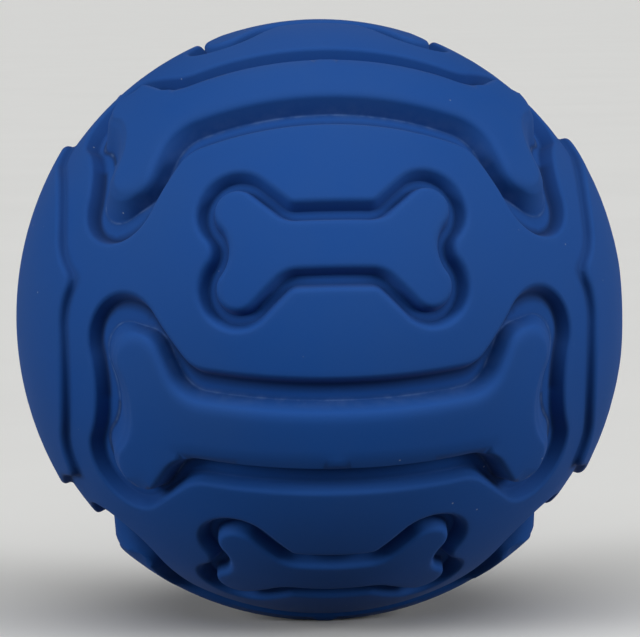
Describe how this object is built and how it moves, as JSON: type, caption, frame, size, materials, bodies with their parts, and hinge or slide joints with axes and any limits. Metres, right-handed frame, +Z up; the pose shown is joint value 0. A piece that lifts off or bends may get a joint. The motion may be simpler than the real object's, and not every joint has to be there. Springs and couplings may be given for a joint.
{
  "type": "squeaky rubber dog ball",
  "caption": "Hollow moulded rubber dog ball with raised bone relief, scalloped end caps and a push-in squeaker whose reed sounds when the ball is squeezed.",
  "frame": {"origin": "centre of the ball", "axes": "+X along the axis of the bone pattern, out through the squeaker; +Z up; -Y towards the viewer"},
  "size_m": [0.064, 0.0634, 0.0641],
  "materials": {
    "rubber": "matte moulded",
    "barrel": "satin moulded",
    "reed_block": "satin moulded",
    "reed_film": "polished film"
  },
  "bodies": {
    "ball": {"shell_right": "rubber", "shell_left": "rubber", "squeaker_barrel": "barrel", "reed_anvil": "reed_block", "reed_wedge": "reed_block"},
    "reed_tongue": {"reed": "reed_film"}
  },
  "joints": [
    {"name": "reed_flutter", "type": "hinge", "parent": "ball", "child": "reed_tongue", "pos_m": [0.0237, 0, 0.0002], "axis": [0, 1, 0], "range_deg": [-4, 4], "stiffness_Nm_per_rad": 0.005}
  ]
}
